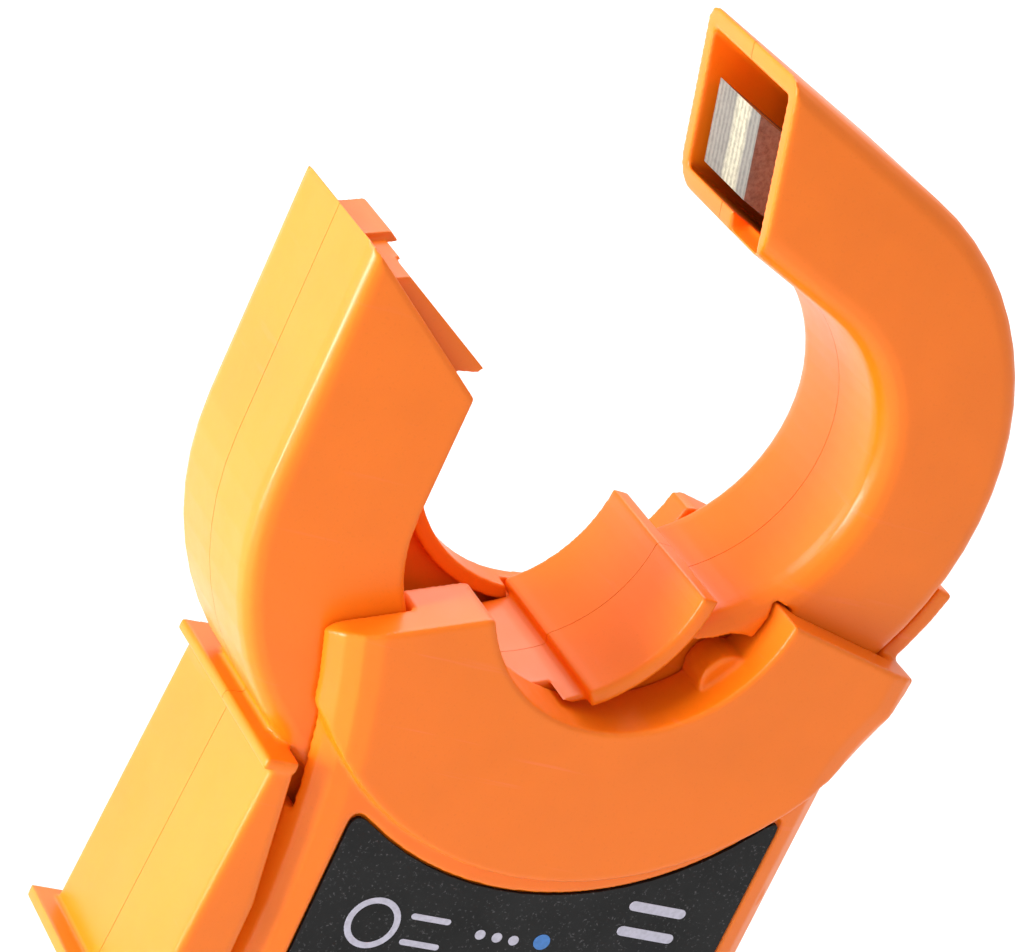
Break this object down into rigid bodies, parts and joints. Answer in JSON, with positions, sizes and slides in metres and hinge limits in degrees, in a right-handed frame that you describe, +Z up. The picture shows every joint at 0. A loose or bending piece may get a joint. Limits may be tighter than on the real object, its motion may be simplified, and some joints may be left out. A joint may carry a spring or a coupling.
{
  "type": "clamp meter",
  "caption": "Hand-held clamp meter with a spring-closed jaw held open, thumb trigger, range dial, display, hold button, input jacks and sliding battery cover.",
  "frame": {"origin": "on the flat bottom end of the handle, at its parting plane, 2.5 mm to the left of the middle of its width as the face is seen", "axes": "+Z up along the handle towards the jaws, -Y out of the face with the dial and display, +X to the right as the face is seen"},
  "size_m": [0.1025, 0.0402, 0.2303],
  "materials": {
    "case": "moulded ABS, satin",
    "jaw": "moulded ABS, satin",
    "core_steel": "laminated, cut face",
    "copper": "enamelled winding",
    "steel": "satin",
    "brass": "satin",
    "face": "printed film, fine grain",
    "window": "clear acrylic",
    "display": "reflective LCD",
    "board": "solder mask",
    "dial": "moulded, satin",
    "dark_plastic": "moulded",
    "button": "moulded, satin",
    "jack_red": "moulded",
    "battery": "printed steel can"
  },
  "bodies": {
    "case": {"front_case": "case", "rear_case": "case", "fixed_jaw_front_shell": "jaw", "fixed_jaw_rear_shell": "jaw", "fixed_pole_block": "case", "fixed_jaw_core": "core_steel", "fixed_jaw_coil": "copper", "jaw_pivot_pin": "steel", "jaw_return_spring": "steel", "face_label": "face", "display_window": "window", "display_panel": "display", "circuit_board": "board", "hold_switch": "dark_plastic", "input_jack_1": "jack_red", "input_jack_2": "dark_plastic", "input_jack_3": "jack_red", "jack_contact_1": "brass", "jack_contact_2": "brass", "jack_contact_3": "brass", "buzzer": "dark_plastic", "battery": "battery", "battery_snap": "dark_plastic", "battery_lead_red": "jack_red", "battery_lead_black": "dark_plastic", "case_screw_1": "steel", "case_screw_2": "steel", "case_screw_3": "steel", "case_screw_4": "steel"},
    "moving_jaw": {"moving_jaw_front_shell": "jaw", "moving_jaw_rear_shell": "jaw", "moving_jaw_core": "core_steel", "moving_jaw_coil": "copper", "moving_pole_tongue": "case"},
    "dial": {"range_dial": "dial", "dial_rotor": "dark_plastic", "dial_wiper_1": "brass", "dial_wiper_2": "brass"},
    "hold_button": {"hold_button": "button"},
    "battery_cover": {"battery_cover": "case"}
  },
  "joints": [
    {"name": "jaw_hinge", "type": "hinge", "parent": "case", "child": "moving_jaw", "pos_m": [0.0167, 0, 0.1512], "axis": [0, 1, 0], "range_deg": [0, 37.8], "stiffness_Nm_per_rad": 0.5, "springref_deg": 63.03},
    {"name": "dial_turn", "type": "hinge", "parent": "case", "child": "dial", "pos_m": [0.0025, -0.0165, 0.082], "axis": [0, 1, 0], "range_deg": [-150, 150]},
    {"name": "hold_press", "type": "slide", "parent": "case", "child": "hold_button", "axis": [0, 1, 0], "range_m": [0, 0.0008], "stiffness_N_per_m": 1500, "springref_m": -0.001},
    {"name": "battery_cover_slide", "type": "slide", "parent": "case", "child": "battery_cover", "axis": [0, 0, -1], "range_m": [0, 0.06]}
  ]
}
